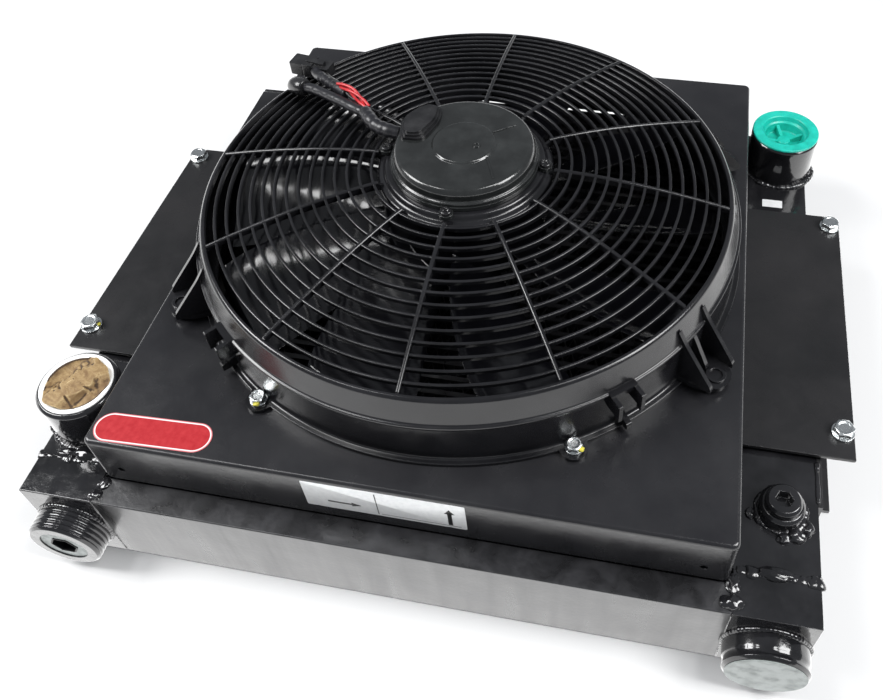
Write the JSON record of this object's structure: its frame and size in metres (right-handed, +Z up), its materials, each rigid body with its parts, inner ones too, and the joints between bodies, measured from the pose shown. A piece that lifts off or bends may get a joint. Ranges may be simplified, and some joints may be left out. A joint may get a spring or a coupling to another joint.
{
  "type": "hydraulic oil cooler",
  "caption": "Bar-and-plate oil cooler with welded side tanks, a sheet-metal shroud and an electric suction fan behind a domed round grille.",
  "frame": {"origin": "on the fan's axis, in the plane of the core's underside", "axes": "+Z up along the fan's axis, +X to the right across the core and along the oil passages, +Y to the back, away from the two front ports"},
  "size_m": [0.586, 0.492, 0.2175],
  "materials": {
    "core_paint": "satin black paint over aluminium",
    "bare_fins": "thin black coat on folded aluminium strip",
    "tank_paint": "glossy black paint on welded aluminium",
    "shroud_paint": "satin black powder coat with fine grain",
    "bracket_paint": "satin black powder coat",
    "port_face": "pale machined port face",
    "zinc": "bright zinc plate",
    "fan_plastic": "black moulded glass-filled plastic with a soft sheen",
    "blade_plastic": "glossy black moulded plastic",
    "motor_paint": "satin black coated steel",
    "steel": "ground steel",
    "magnet": "dark grey ferrite",
    "copper": "enamelled copper",
    "card": "brown phenolic card",
    "carbon": "graphite",
    "foam": "black closed-cell foam",
    "green_plastic": "turquoise polyethylene",
    "white_plastic": "white polyethylene",
    "kraft_paper": "crumpled brown kraft paper",
    "cable_tape": "glossy black cloth tape",
    "red_insulation": "red wire insulation",
    "black_insulation": "black wire insulation",
    "connector": "black moulded nylon",
    "red_label": "glossy red film with a white border",
    "white_label": "white printed film"
  },
  "bodies": {
    "cooler": {"core_front_channel": "core_paint", "core_rear_channel": "core_paint", "oil_passages": "core_paint", "air_fins": "bare_fins", "left_tank": "tank_paint", "right_tank": "tank_paint", "left_end_block": "tank_paint", "right_end_block": "tank_paint", "left_tank_cap": "tank_paint", "right_tank_cap": "tank_paint", "left_front_boss": "tank_paint", "right_front_boss": "tank_paint", "left_front_plug": "port_face", "right_front_blank": "port_face", "left_top_boss": "tank_paint", "right_top_boss": "tank_paint", "port_liner": "white_plastic", "vent_boss": "tank_paint", "vent_plug": "tank_paint", "shroud": "shroud_paint", "shroud_seal": "foam", "left_wing_plate": "bracket_paint", "right_wing_plate": "bracket_paint", "left_mounting_bracket": "bracket_paint", "right_mounting_bracket": "bracket_paint", "wing_washers": "zinc", "wing_bolts": "zinc", "wing_nuts": "zinc", "fan_housing": "fan_plastic", "fan_washers": "zinc", "fan_bolts": "zinc", "fan_nuts": "zinc", "motor_can": "motor_paint", "motor_cover": "motor_paint", "motor_screws": "motor_paint", "motor_lead_block": "connector", "lower_bearing": "steel", "upper_bearing": "steel", "motor_magnets": "magnet", "brush_card": "card", "brushes": "carbon", "cable_sleeve": "cable_tape", "red_wire": "red_insulation", "black_wire": "black_insulation", "connector_socket": "connector", "connector_pin": "connector", "red_badge": "red_label", "airflow_label": "white_label", "small_label": "white_label"},
    "rotor": {"armature_core": "steel", "armature_windings": "copper", "commutator": "copper", "motor_shaft": "steel", "impeller": "blade_plastic", "impeller_nut": "zinc"},
    "port_plug": {"thread_protector": "green_plastic"},
    "port_bung": {"paper_bung": "kraft_paper"}
  },
  "joints": [
    {"name": "fan_spin", "type": "hinge", "parent": "cooler", "child": "rotor", "pos_m": [0, 0, 0.16], "axis": [0, 0, 1], "continuous": true},
    {"name": "plug_lift", "type": "slide", "parent": "cooler", "child": "port_plug", "axis": [0, 0, 1], "range_m": [0, 0.03]},
    {"name": "bung_lift", "type": "slide", "parent": "cooler", "child": "port_bung", "axis": [0, 0, 1], "range_m": [0, 0.035]}
  ]
}
